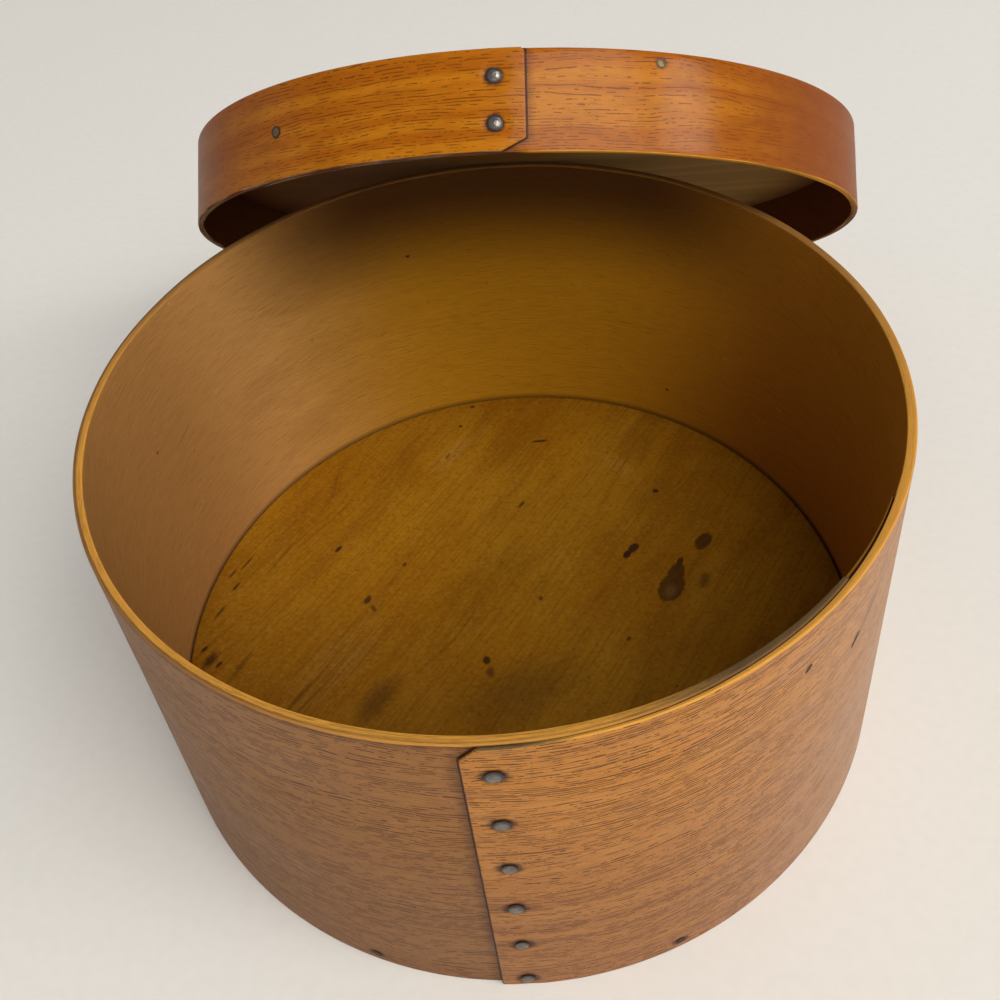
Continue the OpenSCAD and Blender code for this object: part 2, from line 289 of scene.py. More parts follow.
class BentStrip:
    """A strip bent round and lapped over itself. Angles count from its outer end, the way it runs."""

    def __init__(self, sizes):
        self.sizes = sizes
        self.inner = sizes.radius - sizes.thickness
        self.end_gap = 2 * LAP_GAP / self.inner
        self.last = math.tau + sizes.lap_arc - self.end_gap
        feather = sizes.end_thickness / 2 * (1 + math.cos(sizes.lap_arc))
        self.scarf_shift = (sizes.thickness - feather) / (1 - math.cos(sizes.lap_arc))
        self.scarf_radius = sizes.radius - self.scarf_shift

    def stations(self):
        """Angles of the cross-sections, close together at both ends."""
        mm = MM / self.sizes.radius
        near = np.concatenate([np.linspace(0, END_ROUND / MM, 5), np.arange(1, 16, 0.5)]) * mm
        chip = math.tau + self.sizes.chip_arc + np.linspace(-1, 2, 7) * mm
        far = self.last - np.arange(0, 3, 0.5) * mm
        lap = self.sizes.lap_arc + np.array([0.0, self.end_gap])
        even = np.radians(np.arange(8.0, math.degrees(self.last) - 1.5))
        clip = np.array([self.sizes.clip_width, self.sizes.nick]) / self.sizes.radius
        return np.unique(np.concatenate([near, clip, lap, even, chip, far]).clip(0, self.last).round(6))

    def faces(self, angles):
        """Inner and outer radius at each angle."""
        sizes = self.sizes
        shift = sizes.end_thickness / 2
        outer_risen = off_centre(shift, sizes.radius + shift, angles)
        inner_risen = off_centre(shift, self.inner + shift, angles)
        scarf = off_centre(self.scarf_shift, self.scarf_radius, angles)
        rising = angles < math.pi
        inner = np.select([angles <= sizes.lap_arc, rising], [scarf + LAP_GAP, inner_risen], self.inner)
        outer = np.select([rising, angles <= math.tau], [outer_risen, sizes.radius], scarf)
        return inner, outer

    def edges(self, angles):
        """Lowest and highest point at each angle, with the clipped corners, the chip and the rim's wear."""
        sizes = self.sizes
        run = angles * sizes.radius
        turn = self.azimuth(angles)
        worn = RIM_WEAR * (1 + np.sin(5 * turn + 0.4) * np.sin(11 * turn + 2.0))
        clip = sizes.clip_height * np.clip(1 - run / sizes.clip_width, 0, 1)
        past_chip = (angles - math.tau - sizes.chip_arc) * sizes.radius
        chip = sizes.chip_height * smooth(0, CHIP_SLOPE, past_chip)
        nick = sizes.nick * np.clip(1 - run / max(sizes.nick, MM), 0, 1)
        return nick, sizes.height - worn - clip - chip

    def azimuth(self, angles):
        return self.sizes.lap_end + angles

    def run(self, azimuth):
        """Angle at which an azimuth is first reached."""
        return (azimuth - self.sizes.lap_end) % math.tau

    def sag(self, azimuths, up):
        """How far the wall has pulled in; none where the board holds it round."""
        free = smooth(self.sizes.board_thickness, 0.7 * self.sizes.height, up)
        waves = 2.0 + np.sin(2 * azimuths + 0.6) + 0.6 * np.sin(3 * azimuths + 2.2)
        waves = waves + 0.4 * np.sin(7 * azimuths + 1.1)
        return self.sizes.sag * free * waves / 4.0

    def seat(self, azimuth, up):
        """Place on the outer face: +X points out of the wall and +Z up it."""
        outer = self.faces(np.array([self.run(azimuth)]))[1][0]
        radius = float(outer - self.sag(azimuth, up))
        return Matrix.Rotation(azimuth, 4, "Z") @ Matrix.Translation((radius, 0.0, up))


def strip_mesh(name, strip, tacks, tack_head):
    """Mesh of a bent strip, pressed in a little round its tacks, which are given by azimuth and height."""
    sizes = strip.sizes
    angles = strip.stations()
    inner, outer = strip.faces(angles)
    low, high = strip.edges(angles)
    ease = np.clip(END_ROUND - angles * sizes.radius, 0, END_ROUND)
    outer = outer - np.minimum(END_ROUND - np.sqrt(END_ROUND ** 2 - ease ** 2), 0.6 * (outer - inner))
    rounding = np.minimum(EDGE_ROUND, 0.4 * (outer - inner))[:, None]
    low, high = low[:, None], high[:, None]

    rows = np.linspace(0, 1, round(sizes.height / ROW_STEP))[1:-1]
    pull = np.concatenate([1 - np.sin(CORNER), np.zeros(len(rows)), 1 - np.cos(CORNER)])
    up = np.concatenate([
        low + rounding * (1 - np.cos(CORNER)),
        low + rounding + (high - low - 2 * rounding) * rows,
        high - rounding * (1 - np.sin(CORNER)),
    ], axis=1)
    azimuths = strip.azimuth(angles)[:, None]
    sag = strip.sag(azimuths, up)
    outer = outer[:, None] - rounding * pull - sag
    inner = inner[:, None] + rounding * pull - sag
    for azimuth, height in tacks:
        away = np.hypot((angles[:, None] - strip.run(azimuth)) * sizes.radius, up - height)
        outer = outer - TACK_HOLLOW * (1 - smooth(0.4 * tack_head, 1.1 * tack_head, away))

    radii = np.concatenate([outer, inner[:, ::-1]], axis=1)
    heights = np.concatenate([up, up[:, ::-1]], axis=1)
    points = np.stack([radii * np.cos(azimuths), radii * np.sin(azimuths), heights], axis=-1)
    along = np.broadcast_to(angles[:, None] * sizes.radius, heights.shape)
    side = np.concatenate([np.zeros_like(up), np.full_like(up, INSIDE)], axis=1)
    place = np.stack([along / MM, heights / MM, side], axis=-1)

    index = np.arange(radii.size).reshape(radii.shape)
    faces = [skin(index)]
    columns = up.shape[1]
    for ring, step in ((index[0], 1), (index[-1], -1)):
        out, back = ring[:columns], ring[:columns - 1:-1]
        faces.append(np.stack([out[:-1], out[1:], back[1:], back[:-1]], axis=-1)[:, ::step])
    return make_mesh(name, points.reshape(-1, 3), np.concatenate(faces), STRIP_PLACE, place.reshape(-1, 3))


def board_mesh(name, strip):
    """Mesh of a round board inside a strip, a little uneven, with eased edges."""
    radius = strip.inner - BOARD_GAP
    thick = strip.sizes.board_thickness
    spread = np.linspace(0, radius - EDGE_ROUND, BOARD_RINGS)[1:-1]
    out = EDGE_ROUND * (1 - np.sin(CORNER))
    back = EDGE_ROUND * (1 - np.cos(CORNER))
    reach = np.concatenate([spread, radius - out, radius - back, spread[::-1]])[:, None]
    rise = np.concatenate([np.zeros_like(spread), back, thick - out, np.full_like(spread, thick)])[:, None]
    turn = round_turn(BOARD_SEGMENTS)
    x = reach * np.cos(turn)
    y = reach * np.sin(turn)
    warp = BOARD_WARP * (np.sin(x / WARP_WAVES[0] + 1.0) * np.cos(y / WARP_WAVES[1]) - 1)
    warp = warp * smooth(0, WARP_MARGIN, radius - reach)
    z = rise + np.where(rise > thick / 2, warp, -warp)
    hubs = [[0, 0, z[0].mean()], [0, 0, z[-1].mean()]]
    points = np.concatenate([np.stack([x, y, z], axis=-1).reshape(-1, 3), hubs])
    faces = closed_skin(len(reach), BOARD_SEGMENTS, inside_out=True)
    return make_mesh(name, points, faces, BOARD_PLACE, points / MM)


def swept_mesh(name, rings, seed, ripple):
    """Closed skin through rings of (centre, lean from +X towards +Z, radius), with an uneven outline."""
    turn = round_turn(HEAD_SEGMENTS)
    uneven = 1 + ripple * (np.sin(2 * turn + seed) + 0.6 * np.sin(3 * turn + 2.3 * seed))
    points = []
    for centre, lean, radius in rings:
        across = centre[1] + radius * uneven * np.cos(turn)
        rise = radius * uneven * np.sin(turn)
        points.append(np.stack(
            [centre[0] - rise * math.sin(lean), across, centre[2] + rise * math.cos(lean)], axis=-1))
    points = np.concatenate(points + [[rings[0][0], rings[-1][0]]])
    places = np.stack([np.hypot(points[:, 1], points[:, 2]), points[:, 1], points[:, 2]], axis=-1) / MM
    faces = closed_skin(len(rings), HEAD_SEGMENTS)
    return make_mesh(name, points, faces, METAL_PLACE, places + [0, 10 * seed, 10 * seed])


def square_ring(out, radius):
    """A ring square to a fastener's own axis, so far out of the wall."""
    return (out, 0, 0), 0.0, radius


def pointed(sizes, shank):
    """The last rings of a straight shank that ends in a point."""
    tip = sizes.nail_length
    return [square_ring(sizes.nail_point - tip, shank), square_ring(-tip, shank / 4)]


def tack_rings(sizes, spread, grip, clinch):
    """Rings of a tack from the top of its head to its point; with no clinch it runs straight on."""
    head, shank = spread * sizes.tack_head / 2, sizes.tack_shank / 2
    rim = sizes.tack_dome / 3
    rings = [square_ring(rim + (sizes.tack_dome - rim) * (1 - share ** 1.9), share * head)
             for share in (0.1, 0.35, 0.6, 0.8, 0.92)]
    rings += [square_ring(0.85 * rim, head), square_ring(0.3 * rim, 0.99 * head),
              square_ring(0, 0.93 * head), square_ring(0, shank)]
    if clinch == 0:
        return rings + pointed(sizes, shank)
    rings.append(square_ring(-grip, shank))
    way = math.copysign(1, clinch)
    for step in range(1, 6):
        bend = step / 5 * math.pi / 2
        centre = (-grip - shank * math.sin(bend), 0, way * shank * (1 - math.cos(bend)))
        rings.append((centre, -way * bend, shank * 0.95))
    rings.append(((-grip - 0.75 * shank, 0, 0.6 * clinch), -way * math.pi / 2, 0.7 * shank))
    rings.append(((-grip - 0.5 * shank, 0, clinch), -way * math.pi / 2, 0.3 * shank))
    return rings


def nail_rings(sizes, spread, reach):
    """Rings of a flush nail from its head to its point, or cut off at its reach."""
    head, shank = spread * sizes.nail_head / 2, sizes.nail_shank / 2
    rings = [square_ring(NAIL_PROUD * (1 - 0.4 * share ** 2), share * head)
             for share in (0.2, 0.5, 0.8, 0.94)]
    rings += [square_ring(0.3 * NAIL_PROUD, head), square_ring(-4 * NAIL_PROUD, head),
              square_ring(-4 * NAIL_PROUD, shank)]
    if reach < sizes.nail_length:
        return rings + [square_ring(-reach, shank)]
    return rings + pointed(sizes, shank)


def make_mesh(name, points, faces, attribute, places):
    mesh = bpy.data.meshes.new(name)
    mesh.from_pydata(points.tolist(), [], [tuple(face) for face in faces])
    values = mesh.attributes.new(attribute, "FLOAT_VECTOR", "POINT").data
    values.foreach_set("vector", np.asarray(places, float).ravel())
    mesh.shade_smooth()
    mesh.set_sharp_from_angle(angle=SHARP_EDGE)
    mesh.update()
    return mesh


def nodes_named(start):
    return sorted(name for name in frame["nodes"] if name.startswith(start))


def lid_turn(sizes):
    """From the lid's own frame, where it stands on its board, to the frame of the whole part."""
    centre = (BOARD_LOW + BOARD_HIGH) / 2
    side = Vector((1, 0, 0))
    turn = Matrix((side, (-LID_AXIS).cross(side), -LID_AXIS)).transposed().to_4x4()
    return Matrix.Translation(centre + LID_AXIS * sizes.board_thickness / 2) @ turn


class Wall:
    """The wall of the box or of the lid: its values, its strip, and the place of its own frame."""

    def __init__(self, values, body):
        self.look = values.finishes
        self.fasteners = values.fasteners
        self.body = body
        self.sizes = getattr(values, body)
        self.strip = BentStrip(self.sizes)
        self.turn = lid_turn(self.sizes) if body == "lid" else IN_PLACE

    def head(self, node):
        """Azimuth and height of a tack's or nail's head on the wall, from its node."""
        back = self.turn.inverted()
        points = np.array([back @ vertex.co for vertex in frame["nodes"][node].data.vertices])
        reach = np.hypot(points[:, 0], points[:, 1])
        head = points[reach > reach.max() - HEAD_DEPTH]
        middle = (head.min(axis=0) + head.max(axis=0)) / 2
        return math.atan2(middle[1], middle[0]), middle[2]

    def heads(self, nodes):
        return [self.head(node) for node in nodes]

    def add(self, mesh, node, finish, slot, place=IN_PLACE):
        """Puts a mesh in its place on the wall, in the stead of its node."""
        mesh.transform(self.turn @ place)
        mesh.materials.append(finish)
        piece = bpy.data.objects.new(mesh.name, mesh)
        bpy.context.scene.collection.objects.link(piece)
        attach(piece, self.body)
        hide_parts(node)


# Shading

# Size of every lump of the woods' noise through the wood, in millimetres
THROUGH = 9.0


class Shading:
    """Adds nodes to one tree. A call gives back an output socket, all of a node's outputs, or the node."""

    def __init__(self, tree):
        self.tree = tree

    def feed(self, socket, value):
        if isinstance(value, bpy.types.NodeSocket):
            self.tree.links.new(value, socket)
        elif socket.type == "RGBA":
            socket.default_value = (*value[:3], 1.0)
        else:
            socket.default_value = value

    def node(self, kind, inputs, **settings):
        made = self.tree.nodes.new("ShaderNode" + kind)
        for name, value in settings.items():
            setattr(made, name, value)
        for key, value in inputs.items():
            self.feed(made.inputs[key], value)
        return made

    def maths(self, operation, *values):
        return self.node("Math", dict(enumerate(values)), operation=operation).outputs[0]

    def times(self, first, second):
        return self.maths("MULTIPLY", first, second)

    def less(self, first, second):
        return self.maths("SUBTRACT", first, second)

    def plus(self, base, value, scale=1.0):
        """The base and so many times the value."""
        return self.maths("MULTIPLY_ADD", value, scale, base)

    def most(self, *values):
        strongest = values[0]
        for value in values[1:]:
            strongest = self.maths("MAXIMUM", strongest, value)
        return strongest

    def vector(self, operation, *values):
        made = self.node("VectorMath", dict(enumerate(values)), operation=operation)
        return made.outputs["Value" if operation == "LENGTH" else "Vector"]

    def step(self, value, low, high, start=0.0, end=1.0):
        """Smooth step from start to end while the value goes from low to high."""
        inputs = {0: value, 1: low, 2: high, 3: start, 4: end}
        return self.node("MapRange", inputs, interpolation_type="SMOOTHSTEP").outputs[0]

    def blend(self, factor, first, second):
        return self.node("Mix", {0: factor, 6: first, 7: second}, data_type="RGBA").outputs[2]

    def coats(self, tone, *coats):
        """Lays coats over a tone in turn, each a mask and its colour."""
        for mask, paint in coats:
            tone = self.blend(mask, tone, paint)
        return tone

    def noise(self, place, sizes, detail=2.0):
        """Soft noise whose lumps have the given sizes along, across and through."""
        inputs = {"Vector": self.vector("DIVIDE", place, sizes), "Scale": 1.0, "Detail": detail}
        return self.node("TexNoise", inputs).outputs[0]

    def turned(self, place, turn):
        inputs = {"Vector": place, "Angle": turn}
        return self.node("VectorRotate", inputs, rotation_type="Z_AXIS", invert=True).outputs[0]

    def split(self, place):
        return self.node("SeparateXYZ", {0: place}).outputs

    def join(self, x, y, z):
        return self.node("CombineXYZ", {0: x, 1: y, 2: z}).outputs[0]

    def raised(self, height, depth):
        """Normal of a relief whose full height is depth."""
        return self.node("Bump", {"Height": height, "Strength": 1.0, "Distance": depth}).outputs[0]

    def attribute(self, name):
        return self.node("Attribute", {}, attribute_type="GEOMETRY", attribute_name=name).outputs["Vector"]

    def group(self, tree, inputs):
        return self.node("Group", inputs, node_tree=tree).outputs


def shader_group(name, inputs, outputs, build):
    """A node group that is built once. V names a vector socket and F a number."""
    tree = bpy.data.node_groups.get(name)
    if tree:
        return tree
    kinds = {"V": "NodeSocketVector", "F": "NodeSocketFloat"}
    tree = bpy.data.node_groups.new(name, "ShaderNodeTree")
    for label, kind in inputs.items():
        tree.interface.new_socket(label, in_out="INPUT", socket_type=kinds[kind])
    for label in outputs:
        tree.interface.new_socket(label, in_out="OUTPUT", socket_type=kinds["F"])
    given = tree.nodes.new("NodeGroupInput").outputs
    result = tree.nodes.new("NodeGroupOutput").inputs
    shade = Shading(tree)
    for label, value in build(shade, given).items():
        shade.feed(result[label], value)
    return tree


def bent_grain():
    """Open-pored hardwood: rows of pores along the strip, growth bands, fibres and a slow drift."""
    def build(shade, given):
        place, pitch = given["Place"], given["Row pitch"]
        along, across, side = shade.split(place)
        drift = shade.noise(place, (130.0, 36.0, THROUGH))
        wobble = shade.noise(place, (24.0, 7.0, THROUGH))
        across = shade.plus(across, shade.plus(shade.times(wobble, 2.2), drift, 14.0))
        grown = shade.join(along, across, side)
        bands = shade.noise(grown, shade.join(360.0, given["Band width"], THROUGH), detail=1.0)
        bands = shade.step(bands, 0.36, 0.64)

        frayed = shade.times(shade.less(shade.noise(place, (7.0, 2.2, THROUGH)), 0.5), pitch)
        row = shade.maths("DIVIDE", shade.plus(across, frayed, 0.8), pitch)
        number_of_row = shade.maths("FLOOR", row)
        off_row = shade.maths("ABSOLUTE", shade.less(shade.maths("FRACT", row), 0.5))
        lengths = shade.maths("DIVIDE", along, given["Pore length"])
        spot = shade.join(lengths, shade.times(number_of_row, 5.37), side)
        inputs = {"Vector": spot, "Scale": 1.0, "Detail": 4.0, "Roughness": 0.62}
        pore = shade.node("TexNoise", inputs).outputs[0]
        chance = shade.node("TexWhiteNoise", {"W": number_of_row}, noise_dimensions="1D").outputs["Value"]
        bar = shade.plus(shade.plus(given["Pore bar"], chance, 0.12), bands, -0.045)
        width = shade.step(shade.less(pore, bar), 0.0, 0.09, 0.0, given["Pore width"])
        pores = shade.step(shade.less(width, off_row), -0.02, 0.1)
        fibres = shade.noise(grown, (6.0, 0.3, THROUGH), detail=3.0)
        return {"Pores": pores, "Bands": bands, "Fibres": fibres, "Drift": drift}

    numbers = ("Row pitch", "Pore length", "Pore width", "Pore bar", "Band width")
    inputs = {"Place": "V", **dict.fromkeys(numbers, "F")}
    return shader_group("Bent hardwood grain", inputs, ("Pores", "Bands", "Fibres", "Drift"), build)


def pine_grain():
    """Flat-sawn pine: soft wandering bands, thin dark streaks and fibres, all along one direction."""
    def build(shade, given):
        turned = shade.turned(given["Place"], given["Turn"])
        drift = shade.noise(turned, (150.0, 60.0, THROUGH))
        wander = shade.plus(-25.0, drift, 50.0)
        grown = shade.vector("ADD", turned, shade.join(0.0, wander, 0.0))
        bands = shade.noise(grown, shade.join(280.0, given["Band width"], THROUGH))
        bands = shade.step(bands, 0.34, 0.66)
        streaks = shade.step(shade.noise(grown, (55.0, 1.5, THROUGH)), 0.56, 0.74)
        streaks = shade.times(streaks, shade.step(bands, 0.2, 0.8, 0.3, 1.0))
        fibres = shade.noise(turned, (20.0, 0.6, THROUGH), detail=3.0)
        return {"Bands": bands, "Streaks": streaks, "Fibres": fibres, "Drift": drift}

    inputs = {"Place": "V", "Turn": "F", "Band width": "F"}
    return shader_group("Pine grain", inputs, ("Bands", "Streaks", "Fibres", "Drift"), build)


def stain_spot():
    """One spot with a ragged outline: 1 in the middle, 0 outside."""
    def build(shade, given):
        off = shade.turned(shade.vector("SUBTRACT", given["Place"], given["Middle"]), given["Turn"])
        reach = shade.vector("LENGTH", shade.vector("DIVIDE", off, given["Size"]))
        reach = shade.plus(reach, given["Ragged"])
        return {"Spot": shade.step(reach, shade.less(1.0, given["Softness"]), 1.0, 1.0, 0.0)}

    inputs = {"Place": "V", "Middle": "V", "Size": "V", "Turn": "F", "Softness": "F", "Ragged": "F"}
    return shader_group("Stain spot", inputs, ("Spot",), build)


def worn_edge():
    """Wear along an edge, from the distance to it."""
    def build(shade, given):
        ragged = shade.noise(given["Place"], (14.0, 1.6, THROUGH), detail=3.0)
        reach = shade.plus(given["Distance"], shade.less(ragged, 0.5), given["Raggedness"])
        return {"Wear": shade.step(reach, shade.times(given["Width"], 0.5), given["Width"], 1.0, 0.0)}

    inputs = {"Place": "V", "Distance": "F", "Width": "F", "Raggedness": "F"}
    return shader_group("Worn edge", inputs, ("Wear",), build)


def beaten_metal():
    """Hammer marks, and tarnish in patches and round the edge of a head of the given radius; the darkening
    round the edge is partly painted shade.
    """
    def build(shade, given):
        place, radius = given["Place"], given["Radius"]
        from_axis = shade.split(place)[0]
        patches = shade.step(shade.noise(place, (2.6, 2.6, 2.6), detail=1.0), 0.35, 0.7, 0.0, 0.6)
        # Partly painted shade: the darkening round the head's edge also stands for the dark rim of a domed
        # head
        edge = shade.step(from_axis, shade.times(radius, 0.4), shade.times(radius, 0.88))
        return {"Marks": shade.noise(place, (1.8, 1.8, 1.8)), "Tarnish and edge shade": shade.most(patches, edge)}

    return shader_group("Beaten metal", {"Place": "V", "Radius": "F"}, ("Marks", "Tarnish and edge shade"), build)


def new_finish(name, **plain):
    """A material and its shader's sockets; plain gives those that hold one value all over."""
    old = bpy.data.materials.get(name)
    if old:
        bpy.data.materials.remove(old)
    finish = bpy.data.materials.new(name)
    finish.use_nodes = True
    shader = finish.node_tree.nodes["Principled BSDF"].inputs
    for socket, value in plain.items():
        shader[socket.replace("_", " ")].default_value = value
    return finish, shader


class WoodShading(Shading):
    """Shading of a piece of wood by its own place, with stains on it."""

    def __init__(self, tree, place_name, raggedness):
        super().__init__(tree)
        self.place = self.attribute(place_name)
        self.raggedness = raggedness

    def ragged(self):
        """Noise that makes the outline of a spot ragged by a share of its size."""
        noise = self.noise(self.place, (2.6, 1.3, THROUGH), detail=3.0)
        return self.plus(-self.raggedness, noise, 2 * self.raggedness)

    def spots(self, ragged, stains):
        """Strongest of several stains, each (middle, size, turn in degrees, softness, strength)."""
        found = []
        for middle, size, turn, softness, strength in stains:
            inputs = {"Place": self.place, "Middle": (*middle, 0.0), "Size": (*size, 1e6),
                      "Turn": math.radians(turn), "Softness": softness, "Ragged": ragged}
            found.append(self.times(self.group(stain_spot(), inputs)["Spot"], strength))
        return self.most(*found)


class WallShading(WoodShading):
    """Shading of a bent wall by the place on its strip: along it, up it and through it, in millimetres."""

    def __init__(self, tree, strip):
        super().__init__(tree, STRIP_PLACE, 0.3)
        self.strip = strip
        self.height = strip.sizes.height / MM
        self.whole_turn = math.tau * strip.sizes.radius / MM
        self.along, self.up, self.side = self.split(self.place)
        self.from_edge = self.less(self.height, self.up)
        self.inside = self.step(self.side, 0.3 * INSIDE, 0.7 * INSIDE)
        self.rough = self.ragged()

    def turns(self, low, high, start=0.0, end=1.0):
        """Smooth step along the strip, given in turns from its outer end."""
        return self.step(self.along, low * self.whole_turn, high * self.whole_turn, start, end)

    def grain(self, sizes):
        return self.group(bent_grain(), {"Place": self.place, **sizes})

    def wear(self, width, raggedness):
        """Wear along the open edge."""
        inputs = {"Place": self.place, "Distance": self.from_edge, "Width": width, "Raggedness": raggedness}
        return self.group(worn_edge(), inputs)["Wear"]

    def relief(self, fibres, amount, pores, depth):
        return self.raised(self.plus(self.times(pores, -0.8), fibres, amount), depth)

    def marks(self, marks, inside=False):
        """Marks given by azimuth in degrees and height; inside counts the layer under the lap."""
        sizes = self.strip.sizes
        placed = []
        for (azimuth, up), *rest in marks:
            run = self.strip.run(math.radians(azimuth))
            if inside and run < sizes.lap_arc:
                run += math.tau
            placed.append(((run * sizes.radius / MM, up), *rest))
        return placed

    def head_marks(self, heads, halo, strength, streak=None):
        """Grime round the heads of tacks or nails: a halo and, where given, a streak along the grain."""
        middles = [(math.degrees(azimuth), up / MM) for azimuth, up in heads]
        marks = [(middle, halo, 0, 0.45, strength) for middle in middles]
        if streak:
            marks += [(middle, streak, 0, 0.9, 0.6 * strength) for middle in middles]
        return self.marks(marks)

    def lap_grime_and_shade(self, reach):
        """Dark line round the lap's outer end, fading within reach on the wall that it lies against: dirt,
        and painted shade of the lap's step.
        """
        sizes = self.strip.sizes
        slope = sizes.clip_height / sizes.clip_width
        past = self.less(self.along, self.whole_turn)
        above = self.less(self.up, (sizes.height - sizes.clip_height) / MM)
        over_clip = self.times(self.plus(above, past, -slope), math.cos(math.atan(slope)))
        off = self.most(self.times(past, -1.0), over_clip)
        line = self.step(off, 0.25, 0.75, 0.95, 0.0)
        faded = self.step(self.plus(off, self.rough, 3.0), 0.0, reach, 0.42, 0.0)
        end = self.step(self.along, 0.1, 0.5, 0.8, 0.0)
        return self.most(line, faded, end)


class BoardShading(WoodShading):
    """Shading of a round board by the place on it, in millimetres."""

    def __init__(self, tree, strip):
        super().__init__(tree, BOARD_PLACE, 0.22)
        self.x, self.y, self.z = self.split(self.place)
        from_middle = self.vector("LENGTH", self.join(self.x, self.y, 0.0))
        self.from_wall = self.less(strip.inner / MM, from_middle)
        thick = strip.sizes.board_thickness / MM
        self.inner_face = self.step(self.z, 0.45 * thick, 0.55 * thick)

    def grain(self, turn):
        return self.group(pine_grain(), {"Place": self.place, "Turn": turn, "Band width": 9.0})

    def relief(self, grain, fibres, streaks):
        height = self.plus(self.times(grain["Streaks"], -streaks), grain["Fibres"], fibres)
        return self.raised(height, 0.12 * MM)


def pores(pitch, long, wide, bar, bands):
    """Sizes of a grain: pitch of its rows, length, width and rarity of its pores, width of its bands."""
    return {"Row pitch": pitch, "Pore length": long, "Pore width": wide, "Pore bar": bar,
            "Band width": bands}


SHORT_PORES = pores(0.9, 5.0, 0.21, 0.435, 9.0)
LONG_PORES = pores(1.4, 26.0, 0.12, 0.50, 16.0)
LID_PORES = pores(1.05, 4.5, 0.17, 0.43, 7.0)

# Stains are given as middle, size, turn, softness and strength, in millimetres and degrees.
# The two slits high on the right of the box wall and the grime round them; a middle is azimuth and height
WALL_SLITS = (
    ((-47.7, 105.2), (1.5, 1.0), 44, 0.1, 1.0),
    ((-37.2, 94.2), (2.9, 1.2), 42, 0.2, 1.0),
    ((-34.0, 99.5), (13.0, 3.2), 42, 0.95, 0.38),
)
# Small marks inside the box wall, in the same form
INSIDE_MARKS = (
    ((110.5, 88.0), (1.2, 0.9), 0, 0.6, 0.9),
    ((173.0, 79.0), (0.9, 0.8), 0, 0.6, 0.8),
    ((165.5, 72.0), (9.0, 0.5), -14, 0.8, 0.4),
    ((60.0, 22.0), (1.0, 0.9), 0, 0.6, 0.8),
)


def box_outside(shade, look, grain, tacks, nails):
    """Tone and pores of the box wall's outside: redder low down, paler on the right with a painted sheen,
    greyed and darkened on the left as painted shade.
    """
    along, up, height, turn = shade.along, shade.up, shade.height, shade.whole_turn
    fibres = grain["Fibres"]
    mottle = shade.noise(shade.place, (16.0, 6.0, THROUGH), detail=3.0)
    high = shade.step(shade.plus(up, mottle, 60.0), 55.0, 135.0)
    right = shade.turns(0.3, 0.45, 1.0, 0.0)
    # Partly a dull bloom, partly a painted sheen: a pale pinkish grey over the lit front-right and right of
    # the outside
    bloom_and_sheen = shade.times(shade.step(shade.plus(along, mottle, 50.0), 60.0, 170.0, 0.0, 0.8), right)
    # Painted shade: the left outside, which faces away from the lamps, is darkened towards the greyed
    # colour
    shade_on_left = shade.step(shade.plus(along, mottle, 90.0), 0.62 * turn, 0.92 * turn, 0.0, 0.85)
    shade_on_left = shade.times(shade_on_left, shade.turns(0.86, 1.0, 1.0, 0.75))

    near_rim = shade.step(shade.plus(up, mottle, 30.0), 0.6 * height, 1.05 * height, 0.0, 0.55)
    near_rim = shade.times(near_rim, right)
    long_grain = shade.noise(shade.place, (120.0, 0.7, THROUGH))
    pale_lines = shade.times(shade.step(long_grain, 0.46, 0.34), near_rim)
    dark_lines = shade.times(shade.step(long_grain, 0.55, 0.68), near_rim)
    long_pores = shade.step(up, 0.35 * height, 0.75 * height, 0.2, 0.7)
    long_pores = shade.times(shade.grain(LONG_PORES)["Pores"], long_pores)
    dark = shade.times(grain["Pores"], shade.step(bloom_and_sheen, 0.0, 0.8, 0.85, 0.45))
    dark = shade.most(dark, long_pores, dark_lines)

    grime = shade.spots(shade.rough, [
        *shade.head_marks(tacks, (4.4, 3.7), 0.85, streak=(9.0, 0.8)),
        *shade.head_marks(nails, (3.4, 2.4), 0.8),
        *shade.marks(WALL_SLITS),
    ])
    under_rim = shade.step(shade.plus(shade.from_edge, shade.rough, 1.2), 1.0, 2.2, 0.55, 0.0)
    tone = shade.coats(
        look.wall_low,
        (high, look.wall),
        (shade.step(grain["Bands"], 0.0, 1.0, 0.3, 0.0), look.wall_pale),
        (shade.step(mottle, 0.45, 0.7, 0.0, 0.45), look.wall_low),
        (bloom_and_sheen, look.wall_bloom_and_sheen),
        (shade_on_left, look.wall_grey_and_shade),
        (shade.step(fibres, 0.48, 0.72, 0.0, 0.4), look.wall_pores_and_shade),
        (shade.step(fibres, 0.48, 0.28, 0.0, 0.3), look.wall_pale),
        (pale_lines, look.wall_pale),
        (dark, look.wall_pores_and_shade),
        (shade.most(grime, shade.lap_grime_and_shade(4.0)), look.dirt_and_seam_shade),
        (shade.times(under_rim, shade_on_left), look.dirt_and_seam_shade),
    )
    return tone, dark


